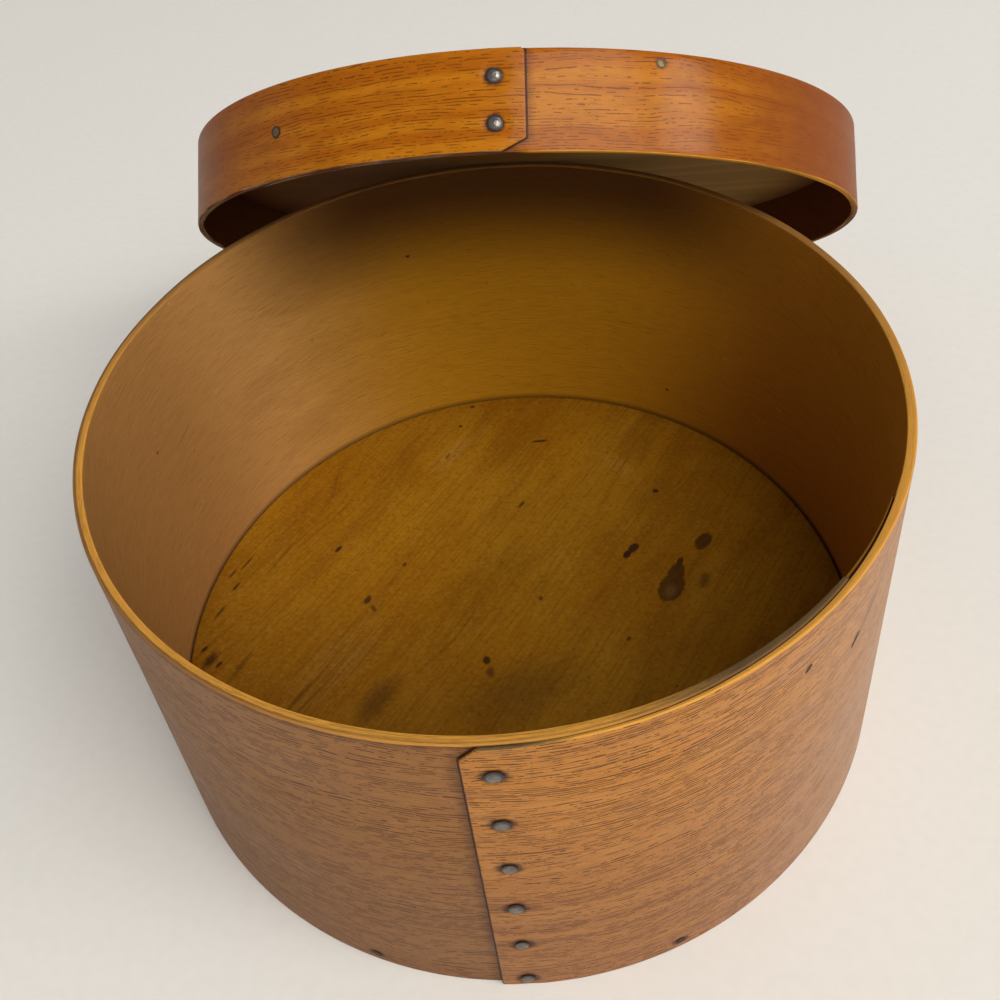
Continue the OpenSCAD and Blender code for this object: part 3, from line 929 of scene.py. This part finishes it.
def box_inside(shade, look, fibres, off_back, lap):
    """Tone of the box wall's inside: lighter on the left, darker and browner on the right, as painted light
    and shade, yellow at the back, and darkened below its rim at the back as painted shade under the lid.
    """
    up, height, turn = shade.up, shade.height, shade.whole_turn
    floor = shade.strip.sizes.board_thickness / MM
    cloud = shade.step(shade.noise(shade.place, (70.0, 18.0, THROUGH), detail=3.0), 0.35, 0.7)
    redder = shade.most(shade.times(cloud, 0.5), shade.step(off_back, 85.0, 165.0, 0.0, 0.8))
    # Painted light and shade: the left inside takes the lighter inside colours and the right inside the
    # shaded one
    left = shade.times(shade.turns(0.48, 0.6), shade.step(shade.along, turn, turn + 0.9 * lap, 1.0, 0.0))
    specks = shade.noise(shade.place, (2.6, 1.8, THROUGH), detail=1.0)
    # Painted shade: the upper back of the inside, under the leaning lid, is darkened towards the pore
    # colour
    shade_under_lid = shade.step(off_back, 55.0, 130.0, 0.92, 0.0)
    shade_under_lid = shade.times(shade_under_lid, shade.step(up, 0.55 * height, 0.95 * height))
    return shade.coats(
        look.inside_shaded,
        (left, shade.blend(redder, look.inside, look.inside_red)),
        (shade.step(off_back, 30.0, 120.0, 0.95, 0.0), look.inside_yellow),
        (shade.step(fibres, 0.45, 0.8, 0.0, 0.35), look.wall_pores_and_shade),
        (shade.step(specks, 0.74, 0.80, 0.0, 0.4), look.rim),
        (shade.step(specks, 0.24, 0.20, 0.0, 0.35), look.dirt_and_seam_shade),
        (shade.spots(shade.rough, shade.marks(INSIDE_MARKS, inside=True)), look.dirt_and_seam_shade),
        (shade.step(up, floor, floor + 2.5, 0.5, 0.0), look.dirt_and_seam_shade),
        (shade_under_lid, look.wall_pores_and_shade),
    )


def box_rim(shade, look, fibres, off_back, lap):
    """Tone of the worn rim: dirty at the lap's ends, dull at the back and stained outside on the left."""
    along, turn = shade.along, shade.whole_turn
    outer_end = shade.step(shade.plus(along, shade.rough, 16.0), 14.0, 30.0, 1.0, 0.0)
    inner_end = shade.step(shade.plus(along, shade.rough, 20.0), turn + 0.2 * lap, turn + 0.5 * lap)
    across = shade.plus(shade.side, shade.rough, 0.4 * INSIDE)
    stained = shade.step(across, 0.2 * INSIDE, 0.42 * INSIDE, 0.85, 0.0)
    stained = shade.times(stained, shade.turns(0.3, 0.5))
    stained = shade.times(stained, shade.turns(0.9, 1.0, 1.0, 0.35))
    return shade.coats(
        look.rim,
        (shade.step(fibres, 0.48, 0.75, 0.0, 0.55), look.wall),
        (shade.times(shade.most(outer_end, inner_end), 0.94), look.rim_dirt),
        (shade.step(off_back, 110.0, 230.0, 0.75, 0.0), look.wall_grey_and_shade),
        (stained, look.wall_grey_and_shade),
    )


def box_wall_finish(look, strip, tacks, nails):
    """Old oiled hardwood with rows of dark pores, a worn yellow rim and a brown inside."""
    finish, shader = new_finish("oiled_hardwood", Specular_IOR_Level=0.16)
    shade = WallShading(finish.node_tree, strip)
    grain = shade.grain(SHORT_PORES)
    fibres = grain["Fibres"]
    lap = strip.sizes.lap_arc * strip.sizes.radius / MM
    off_back = shade.maths("ABSOLUTE", shade.less(shade.along, 0.5 * shade.whole_turn))
    outside, dark = box_outside(shade, look, grain, tacks, nails)
    within = box_inside(shade, look, fibres, off_back, lap)
    rim = box_rim(shade, look, fibres, off_back, lap)
    tone = shade.coats(outside, (shade.inside, within), (shade.wear(width=0.7, raggedness=0.9), rim))
    dullness = shade.step(grain["Drift"], 0.3, 0.7, 0.44, 0.54)
    shade.feed(shader["Base Color"], tone)
    shade.feed(shader["Roughness"], shade.plus(dullness, shade.inside, 0.12))
    shade.feed(shader["Normal"], shade.relief(fibres, 0.4, dark, 0.10 * MM))
    return finish


def lid_wall_finish(look, strip, tacks, nails):
    """Amber varnish over rows of dark pores, redder and darker round the sides, partly as painted shade,
    worn at the edge with a painted highlight along part of it, and bare inside.
    """
    finish, shader = new_finish(
        "varnished_hardwood", Specular_IOR_Level=0.0, Coat_Roughness=0.2, Coat_IOR=1.45)
    shade = WallShading(finish.node_tree, strip)
    along, turn = shade.along, shade.whole_turn
    grain = shade.grain(LID_PORES)
    fibres = grain["Fibres"]
    mottle = shade.noise(shade.place, (18.0, 7.0, THROUGH), detail=3.0)
    before_lap = shade.times(shade.less(turn, along), 1.5)
    from_lap = shade.plus(shade.maths("MINIMUM", along, before_lap), mottle, 60.0)
    grime = shade.spots(shade.rough, [
        *shade.head_marks(tacks, (3.8, 3.5), 0.9, streak=(7.0, 0.8)),
        *shade.head_marks(nails, (2.7, 2.5), 0.45),
    ])
    outside = shade.coats(
        look.lid,
        (shade.step(grain["Bands"], 0.0, 1.0, 0.75, 0.1), look.lid_pale),
        # Partly painted shade: away from the lap, round the sides of the lid, the varnish turns darker and
        # redder
        (shade.step(from_lap, 70.0, 190.0, 0.0, 0.9), look.lid_red_and_shade),
        (shade.step(mottle, 0.45, 0.75, 0.0, 0.25), look.lid_red_and_shade),
        (shade.step(fibres, 0.46, 0.75, 0.0, 0.5), look.lid_red_and_shade),
        (shade.times(grain["Pores"], shade.step(from_lap, 90.0, 170.0, 0.7, 0.3)), look.lid_pores),
        (shade.most(grime, shade.lap_grime_and_shade(3.0)), look.dirt_and_seam_shade),
    )
    within = shade.blend(shade.step(fibres, 0.4, 0.8, 0.0, 0.5), look.lid_inside_and_shade, look.dirt_and_seam_shade)
    # Painted highlight: the rim colour along the open edge just before the lap stands for a bright
    # reflection there
    edge_highlight = shade.times(shade.turns(0.76, 0.88), shade.step(along, turn - 2.0, turn + 4.0, 1.0, 0.0))
    edge = shade.coats(
        look.lid_edge,
        (shade.step(mottle, 0.4, 0.6), look.lid_inside_and_shade),
        (edge_highlight, look.rim),
    )
    wear = shade.wear(width=0.5, raggedness=0.6)
    bare = shade.most(shade.inside, wear)
    shade.feed(shader["Base Color"], shade.coats(outside, (shade.inside, within), (wear, edge)))
    shade.feed(shader["Roughness"], shade.step(bare, 0.0, 1.0, 0.4, 0.65))
    shade.feed(shader["Coat Weight"], shade.step(bare, 0.0, 1.0, 0.34, 0.0))
    shade.feed(shader["Normal"], shade.relief(fibres, 0.3, grain["Pores"], 0.08 * MM))
    return finish


# Old spills and marks on the bottom board
BOTTOM_STAINS = (
    ((55.6, 13.5), (8.0, 4.9), 66, 0.2, 0.74),
    ((57.4, 19.0), (6.4, 3.4), 68, 0.25, 0.76),
    ((59.0, 24.0), (4.4, 1.4), 68, 0.3, 0.85),
    ((68.7, 34.8), (5.2, 3.1), 55, 0.3, 0.78),
    ((40.1, 28.8), (2.4, 1.6), 55, 0.3, 0.95),
    ((42.4, 31.8), (3.1, 1.9), 50, 0.3, 0.9),
    ((67.7, 16.3), (5.8, 3.2), 70, 0.9, 0.6),
    ((68.4, 18.2), (1.7, 1.1), 70, 0.6, 0.6),
    ((52.1, 60.5), (1.7, 1.3), 0, 0.5, 0.9),
    ((5.7, 89.8), (4.8, 1.1), 5, 0.7, 0.85),
    ((-28.5, 99.5), (1.2, 1.0), 0, 0.5, 0.8),
    ((-24.2, 111.5), (1.4, 1.0), 0, 0.5, 0.8),
    ((-32.4, 81.8), (2.6, 0.9), 65, 0.7, 0.6),
    ((-0.5, 54.7), (2.8, 0.9), 60, 0.6, 0.8),
    ((-70.5, 33.2), (2.6, 1.2), 60, 0.6, 0.9),
    ((-43.7, 25.4), (1.5, 0.9), 60, 0.6, 0.75),
    ((8.4, 8.8), (1.3, 1.0), 60, 0.6, 0.7),
    ((39.6, -8.9), (1.4, 1.0), 60, 0.6, 0.7),
    ((-6.8, 25.4), (1.0, 0.7), 0, 0.6, 0.5),
    ((-55.6, 8.9), (2.8, 1.6), 65, 0.6, 0.85),
    ((-52.8, 5.0), (2.8, 1.3), 120, 0.8, 0.65),
    ((-9.7, -17.6), (2.3, 1.7), 100, 0.5, 0.9),
    ((-8.0, -22.5), (3.6, 2.3), 110, 0.8, 0.65),
    ((-46.0, -33.0), (15.0, 7.0), 60, 0.8, 0.5),
    ((2.0, -30.0), (34.0, 16.0), 20, 0.95, 0.4),
    ((-108.6, -17.2), (6.0, 3.0), 65, 0.8, 0.85),
    ((-112.0, -12.5), (2.6, 1.0), 60, 0.6, 0.9),
    ((-105.0, -19.0), (2.4, 1.0), 60, 0.6, 0.9),
    ((-110.2, 3.6), (5.5, 1.0), 66, 0.8, 0.75),
    ((-106.8, 15.5), (3.4, 0.9), 62, 0.7, 0.85),
    ((-109.6, 21.4), (3.0, 0.8), 62, 0.7, 0.7),
    ((-105.0, 27.0), (5.5, 0.8), 62, 0.8, 0.75),
    ((-92.0, 30.0), (16.0, 1.2), 64, 0.9, 0.4),
    ((-97.0, -20.0), (11.0, 1.8), 66, 0.9, 0.5),
    ((-73.0, -31.0), (12.0, 1.2), 60, 0.9, 0.5),
)
# The paler middle of the largest spill
SPILL_MIDDLE = ((55.0, 11.5), (5.0, 2.9), 66, 0.8, 0.3)
# Pale rubbed places on the bottom board
BOTTOM_SMEARS = (
    ((-31.0, 83.0), (18.0, 6.0), 55, 0.95, 0.4),
    ((38.0, 75.0), (13.0, 5.0), 130, 0.95, 0.4),
    ((-62.0, -18.0), (36.0, 12.0), 58, 0.95, 0.3),
)


def bottom_finish(look, strip):
    """Bare pine browned with age: slanting grain, old spills, painted shade towards the front and left, and
    a dark line where it meets the wall.
    """
    finish, shader = new_finish("bottom_pine", Specular_IOR_Level=0.12)
    shade = BoardShading(finish.node_tree, strip)
    place, x, upper = shade.place, shade.x, shade.inner_face
    rough = shade.ragged()
    grain_turn = math.radians(60.0)
    grain = shade.grain(grain_turn)
    fibres = grain["Fibres"]
    cloud = shade.noise(place, (40.0, 40.0, THROUGH), detail=3.0)
    left = shade.step(shade.plus(x, cloud, 60.0), -40.0, 50.0, 0.5, 0.25)
    blotch = shade.noise(shade.turned(place, grain_turn), (55.0, 16.0, THROUGH), detail=4.0)
    # Painted shade: the bottom is darkened towards the front and left, where the box wall shades it
    front_left_shade = shade.plus(shade.times(shade.y, -0.8), x, -0.6)
    smears = shade.times(shade.spots(rough, BOTTOM_SMEARS), shade.step(fibres, 0.6, 0.35))
    grit = shade.noise(place, (1.5, 1.2, THROUGH), detail=4.0)
    specks = shade.noise(place, (1.7, 1.7, THROUGH), detail=1.0)
    tone = shade.coats(
        look.bottom,
        (shade.step(cloud, 0.35, 0.65), look.bottom_pale),
        (shade.times(grain["Bands"], 0.14), look.bottom_dark_and_shade),
        (shade.step(fibres, 0.42, 0.72, 0.0, 0.38), look.bottom_dark_and_shade),
        (shade.times(grain["Streaks"], left), look.bottom_dark_and_shade),
        (shade.step(blotch, 0.45, 0.75, 0.0, 0.4), look.bottom_dark_and_shade),
        (shade.step(front_left_shade, 0.0, 100.0, 0.0, 0.6), look.bottom_dark_and_shade),
        (smears, look.bottom_dust),
        (shade.step(grit, 0.48, 0.72, 0.0, 0.4), look.bottom_dark_and_shade),
        (shade.step(grit, 0.46, 0.28, 0.0, 0.2), look.bottom_dust),
        (shade.step(specks, 0.72, 0.78, 0.0, 0.35), look.board),
        (shade.step(specks, 0.25, 0.20, 0.0, 0.5), look.bottom_stain),
        (shade.times(shade.spots(rough, BOTTOM_STAINS), upper), look.bottom_stain),
        (shade.spots(rough, [SPILL_MIDDLE]), look.board),
        (shade.plus(0.55, upper, -0.55), look.board),
        (shade.step(shade.from_wall, 0.3, 1.2, 0.8, 0.0), look.dirt_and_seam_shade),
    )
    shade.feed(shader["Base Color"], tone)
    shade.feed(shader["Roughness"], shade.step(fibres, 0.3, 0.7, 0.55, 0.68))
    shade.feed(shader["Normal"], shade.relief(grain, 0.5, 0.4))
    return finish


def lid_board_finish(look, strip):
    """Pine lid board: bare and greyed underneath, with painted shade towards the wall and the left, amber
    varnish on top.
    """
    finish, shader = new_finish("lid_pine", Specular_IOR_Level=0.05, Coat_Roughness=0.2, Coat_IOR=1.45)
    shade = BoardShading(finish.node_tree, strip)
    under, from_wall = shade.inner_face, shade.from_wall
    grain = shade.grain(math.radians(8.0))
    bands, streaks, fibres, drift = (grain[name] for name in ("Bands", "Streaks", "Fibres", "Drift"))
    bare = shade.coats(
        look.board,
        (shade.times(bands, 0.5), look.board_dark),
        (shade.step(fibres, 0.45, 0.8, 0.0, 0.4), look.board_dark),
        (shade.times(streaks, 0.5), look.bottom_dark_and_shade),
        # Painted shade on the underside: darker towards the wall and towards the left, in the lid's hollow
        (shade.step(shade.plus(from_wall, drift, 16.0), 4.0, 34.0, 0.85, 0.0), look.lid_inside_and_shade),
        (shade.step(shade.plus(shade.x, drift, 40.0), -40.0, 60.0, 0.75, 0.0), look.lid_inside_and_shade),
    )
    growth = shade.noise(shade.place, (520.0, 95.0, THROUGH), detail=0.0)
    rings = shade.plus(shade.plus(shade.times(shade.y, 0.07), fibres, 0.25), growth, 18.0)
    rings = shade.maths("FRACT", rings)
    late = shade.times(shade.step(rings, 0.3, 0.9), shade.step(rings, 1.0, 0.9))
    scuffs = shade.step(shade.noise(shade.place, (30.0, 3.0, THROUGH), detail=4.0), 0.64, 0.74)
    top = shade.coats(
        look.lid_pale,
        (shade.times(bands, 0.8), look.lid),
        (shade.step(drift, 0.4, 0.7, 0.0, 0.45), look.lid_red_and_shade),
        (shade.step(fibres, 0.42, 0.7, 0.0, 0.5), look.lid_red_and_shade),
        (shade.times(streaks, 0.75), look.lid_pores),
        (shade.times(late, 0.55), look.lid_red_and_shade),
        (shade.times(scuffs, 0.35), look.board),
    )
    seam = shade.step(from_wall, 0.3, 1.4, 0.8, 0.0)
    dull = shade.most(under, scuffs)
    shade.feed(shader["Base Color"], shade.coats(top, (under, bare), (seam, look.dirt_and_seam_shade)))
    shade.feed(shader["Roughness"], shade.step(dull, 0.0, 1.0, 0.4, 0.7))
    shade.feed(shader["Coat Weight"], shade.step(dull, 0.0, 1.0, 0.6, 0.0))
    shade.feed(shader["Normal"], shade.relief(grain, 0.4, 0.5))
    return finish


def metal_finish(name, bright, dull, radius, tarnished, roughness):
    """Hand-beaten metal, tarnished in patches, dirty and darkened with painted shade round its edge, made
    once for all its heads.
    """
    made = bpy.data.materials.get(name)
    if made:
        return made
    finish, shader = new_finish(name, Metallic=0.85)
    shade = Shading(finish.node_tree)
    metal = shade.group(beaten_metal(), {"Place": shade.attribute(METAL_PLACE), "Radius": radius / MM})
    tarnish_and_shade = shade.times(metal["Tarnish and edge shade"], tarnished)
    shade.feed(shader["Base Color"], shade.blend(tarnish_and_shade, bright, dull))
    shade.feed(shader["Roughness"], shade.step(tarnish_and_shade, 0.0, 1.0, roughness, roughness + 0.3))
    shade.feed(shader["Normal"], shade.raised(metal["Marks"], 0.3 * MM))
    return finish


# Operators

# Widths of the tack heads as shares of their full size, from the rim down
BOX_TACK_SPREADS = (0.92, 0.88, 0.80, 0.90, 0.76, 0.84)
LID_TACK_SPREADS = (0.95, 0.95)
END_NAIL_SPREAD = 1.35
# Point that the lamps face
LAMP_AIM = Vector((0.0, 0.0, 0.05))


def drive_tacks(wall, nodes, name, seed, spreads, clinch, last_clinch):
    """Drives tacks through a lap; clinch is the length that is bent over inside, up or down, or none."""
    sizes, look = wall.fasteners, wall.look
    radius = sizes.tack_head / 2
    finish = metal_finish("worn_steel", look.steel, look.tarnish_and_shade, radius, tarnished=0.9, roughness=0.27)
    grip = wall.sizes.thickness + wall.sizes.end_thickness
    for count, node in enumerate(nodes):
        bent = last_clinch if node == nodes[-1] else clinch
        rings = tack_rings(sizes, spreads[count % len(spreads)], grip, bent)
        mesh = swept_mesh("%s_%d" % (name, count + 1), rings, seed + count, TACK_RIPPLE)
        seat = wall.strip.seat(*wall.head(node)) @ Matrix.Translation((-TACK_SINK, 0, 0))
        wall.add(mesh, node, finish, "tack_steel", seat)


def drive_nails(wall, nodes, name, seed, finish_name, bright, dull):
    """Drives nails through a wall into its board; the end nail goes only through the wall's inner end."""
    sizes = wall.fasteners
    finish = metal_finish(finish_name, bright, dull, 0.65 * sizes.nail_head, tarnished=0.8, roughness=0.5)
    for count, node in enumerate(nodes):
        rings = nail_rings(sizes, 1.0, sizes.nail_length)
        if node == END_NAIL:
            rings = nail_rings(sizes, END_NAIL_SPREAD, wall.sizes.thickness)
        mesh = swept_mesh("%s_%d" % (name, count + 1), rings, seed + count, NAIL_RIPPLE)
        wall.add(mesh, node, finish, "nail_iron", wall.strip.seat(*wall.head(node)))


class PieceOperator:
    """What the operators share."""

    bl_options = {"REGISTER", "UNDO"}


class PANTRY_OT_box_wall(PieceOperator, bpy.types.Operator):
    """Bend the box wall round and lap it over itself"""

    bl_idname = "pantry.box_wall"
    bl_label = "Box Wall"

    def execute(self, context):
        wall = Wall(context.scene.pantry_box, "box")
        tacks = wall.heads(nodes_named("box_lap_tack"))
        nails = wall.heads(nodes_named("box_base_nail"))
        mesh = strip_mesh("box_wall", wall.strip, tacks, wall.fasteners.tack_head)
        wall.add(mesh, "box_band", box_wall_finish(wall.look, wall.strip, tacks, nails), "box_band")
        return {"FINISHED"}


class PANTRY_OT_bottom(PieceOperator, bpy.types.Operator):
    """Set the bottom board inside the box wall"""

    bl_idname = "pantry.bottom"
    bl_label = "Bottom Board"

    def execute(self, context):
        wall = Wall(context.scene.pantry_box, "box")
        mesh = board_mesh("bottom_board", wall.strip)
        wall.add(mesh, "box_base", bottom_finish(wall.look, wall.strip), "box_base")
        return {"FINISHED"}


class PANTRY_OT_box_tacks(PieceOperator, bpy.types.Operator):
    """Drive the column of tacks through the box lap, the lowest into the bottom board"""

    bl_idname = "pantry.box_tacks"
    bl_label = "Box Tacks"

    def execute(self, context):
        wall = Wall(context.scene.pantry_box, "box")
        clinch = -wall.fasteners.tack_clinch
        drive_tacks(wall, nodes_named("box_lap_tack"), "box_tack", 1.0, BOX_TACK_SPREADS, clinch, 0)
        return {"FINISHED"}


class PANTRY_OT_bottom_nails(PieceOperator, bpy.types.Operator):
    """Drive the nails through the box wall into the bottom board"""

    bl_idname = "pantry.bottom_nails"
    bl_label = "Bottom Nails"

    def execute(self, context):
        wall = Wall(context.scene.pantry_box, "box")
        nodes = nodes_named("box_base_nail")
        drive_nails(wall, nodes, "bottom_nail", 11.0, "rusted_iron", wall.look.rust, wall.look.dirt_and_seam_shade)
        return {"FINISHED"}


class PANTRY_OT_lid_wall(PieceOperator, bpy.types.Operator):
    """Bend the lid wall round and lap it over itself"""

    bl_idname = "pantry.lid_wall"
    bl_label = "Lid Wall"

    def execute(self, context):
        wall = Wall(context.scene.pantry_box, "lid")
        tacks = wall.heads(nodes_named("lid_lap_tack"))
        nails = wall.heads(nodes_named("lid_board_nail") + [END_NAIL])
        mesh = strip_mesh("lid_wall", wall.strip, tacks, wall.fasteners.tack_head)
        wall.add(mesh, "lid_band", lid_wall_finish(wall.look, wall.strip, tacks, nails), "lid_band")
        return {"FINISHED"}


class PANTRY_OT_lid_board(PieceOperator, bpy.types.Operator):
    """Set the lid board inside the lid wall"""

    bl_idname = "pantry.lid_board"
    bl_label = "Lid Board"

    def execute(self, context):
        wall = Wall(context.scene.pantry_box, "lid")
        mesh = board_mesh("lid_board_piece", wall.strip)
        wall.add(mesh, "lid_board", lid_board_finish(wall.look, wall.strip), "lid_board")
        return {"FINISHED"}


class PANTRY_OT_lid_tacks(PieceOperator, bpy.types.Operator):
    """Drive the two tacks through the lid lap"""

    bl_idname = "pantry.lid_tacks"
    bl_label = "Lid Tacks"

    def execute(self, context):
        wall = Wall(context.scene.pantry_box, "lid")
        clinch = wall.fasteners.tack_clinch
        drive_tacks(wall, nodes_named("lid_lap_tack"), "lid_tack", 21.0, LID_TACK_SPREADS, clinch, clinch)
        return {"FINISHED"}


class PANTRY_OT_lid_nails(PieceOperator, bpy.types.Operator):
    """Drive the nails into the lid board, and the one that holds the inner end of the lid wall"""

    bl_idname = "pantry.lid_nails"
    bl_label = "Lid Nails"

    def execute(self, context):
        wall = Wall(context.scene.pantry_box, "lid")
        nodes = nodes_named("lid_board_nail") + [END_NAIL]
        drive_nails(wall, nodes, "lid_nail", 31.0, "worn_iron", wall.look.iron, wall.look.rust)
        return {"FINISHED"}


class PANTRY_OT_stage(PieceOperator, bpy.types.Operator):
    """Set the plain floor, the soft lights and the camera"""

    bl_idname = "pantry.stage"
    bl_label = "Stage"

    def execute(self, context):
        stage = context.scene.pantry_box.stage
        scene = context.scene
        self.add_floor(scene, stage)
        self.add_sky(scene, stage)
        self.add_lamp(scene, "main_lamp", stage.main_place, stage.main_size, stage.main_power, stage.lamp)
        self.add_lamp(scene, "side_lamp", stage.side_place, stage.side_size, stage.side_power, stage.lamp)
        self.add_camera(scene, stage)
        scene.view_settings.view_transform = "Standard"
        return {"FINISHED"}

    @staticmethod
    def add_floor(scene, stage):
        """A level floor that bends up into a low round backdrop."""
        bend = np.linspace(0, math.pi / 2, 9)
        bent = stage.floor_radius + stage.backdrop_bend * np.sin(bend)
        reach = np.concatenate([[0.5 * stage.floor_radius], bent, bent[-1:]])
        rise = np.concatenate([[0.0], stage.backdrop_bend * (1 - np.cos(bend)), [stage.backdrop_height]])
        turn = round_turn(FLOOR_SEGMENTS)
        rise = np.repeat(rise[:, None], FLOOR_SEGMENTS, axis=1)
        points = np.stack([np.outer(reach, np.cos(turn)), np.outer(reach, np.sin(turn)), rise], axis=-1)
        index = np.arange(rise.size).reshape(rise.shape)
        mesh = bpy.data.meshes.new("floor")
        mesh.from_pydata(points.reshape(-1, 3).tolist(), [], skin(index).tolist() + [index[0].tolist()])
        mesh.shade_smooth()
        finish, shader = new_finish("floor", Roughness=0.8, Specular_IOR_Level=0.2)
        shade = Shading(finish.node_tree)
        fleck = shade.noise(shade.node("NewGeometry", {}).outputs["Position"], (0.004, 0.004, 0.004))
        tone = shade.blend(shade.step(fleck, 0.3, 0.8), stage.floor, stage.floor_fleck)
        shade.feed(shader["Base Color"], tone)
        mesh.materials.append(finish)
        floor = bpy.data.objects.new("floor", mesh)
        scene.collection.objects.link(floor)

    @staticmethod
    def add_sky(scene, stage):
        world = bpy.data.worlds.new("sky")
        world.use_nodes = True
        scene.world = world
        light = world.node_tree.nodes["Background"].inputs
        light["Color"].default_value = (*stage.sky, 1.0)
        light["Strength"].default_value = stage.sky_strength

    @staticmethod
    def add_lamp(scene, name, place, size, power, light):
        """A soft square lamp that faces the box."""
        lamp = bpy.data.lights.new(name, "AREA")
        lamp.shape = "SQUARE"
        lamp.size = size
        lamp.energy = power
        lamp.color = light
        piece = bpy.data.objects.new(name, lamp)
        piece.location = place
        aim = LAMP_AIM - Vector(place)
        piece.rotation_euler = aim.to_track_quat("-Z", "Y").to_euler()
        scene.collection.objects.link(piece)

    @staticmethod
    def add_camera(scene, stage):
        lens = bpy.data.cameras.new("camera")
        lens.lens = stage.lens
        lens.shift_y = -stage.drop
        lens.clip_start = 0.01
        camera = bpy.data.objects.new("camera", lens)
        camera.matrix_world = (
            Matrix.Translation(stage.camera_place)
            @ Matrix.Rotation(-stage.camera_swing, 4, "Z")
            @ Matrix.Rotation(math.pi / 2 - stage.camera_tip, 4, "X")
            @ Matrix.Rotation(-stage.camera_roll, 4, "Z"))
        scene.collection.objects.link(camera)
        scene.camera = camera


PIECE_OPERATORS = (
    PANTRY_OT_stage,
    PANTRY_OT_box_wall,
    PANTRY_OT_bottom,
    PANTRY_OT_box_tacks,
    PANTRY_OT_bottom_nails,
    PANTRY_OT_lid_wall,
    PANTRY_OT_lid_board,
    PANTRY_OT_lid_tacks,
    PANTRY_OT_lid_nails,
)


class PANTRY_PT_panel(bpy.types.Panel):
    """Buttons for the pieces and the stage"""

    bl_idname = "PANTRY_PT_panel"
    bl_label = "Pantry Box"
    bl_space_type = "VIEW_3D"
    bl_region_type = "UI"
    bl_category = "Pantry Box"

    def draw(self, context):
        for operator in PIECE_OPERATORS:
            self.layout.operator(operator.bl_idname)
        for group in ("box", "lid", "fasteners", "finishes", "stage"):
            values = getattr(context.scene.pantry_box, group)
            column = self.layout.box().column()
            column.label(text=group.title())
            for name in values.__annotations__:
                column.prop(values, name)


CLASSES = (BoxSizes, LidSizes, FastenerSizes, Finishes, Stage, PantryBox, *PIECE_OPERATORS, PANTRY_PT_panel)


def register():
    for cls in CLASSES:
        bpy.utils.register_class(cls)
    bpy.types.Scene.pantry_box = PointerProperty(type=PantryBox)


def unregister():
    del bpy.types.Scene.pantry_box
    for cls in reversed(CLASSES):
        bpy.utils.unregister_class(cls)


def main():
    register()
    for operator in PIECE_OPERATORS:
        family, name = operator.bl_idname.split(".")
        getattr(getattr(bpy.ops, family), name)()


if __name__ == "__main__":
    main()
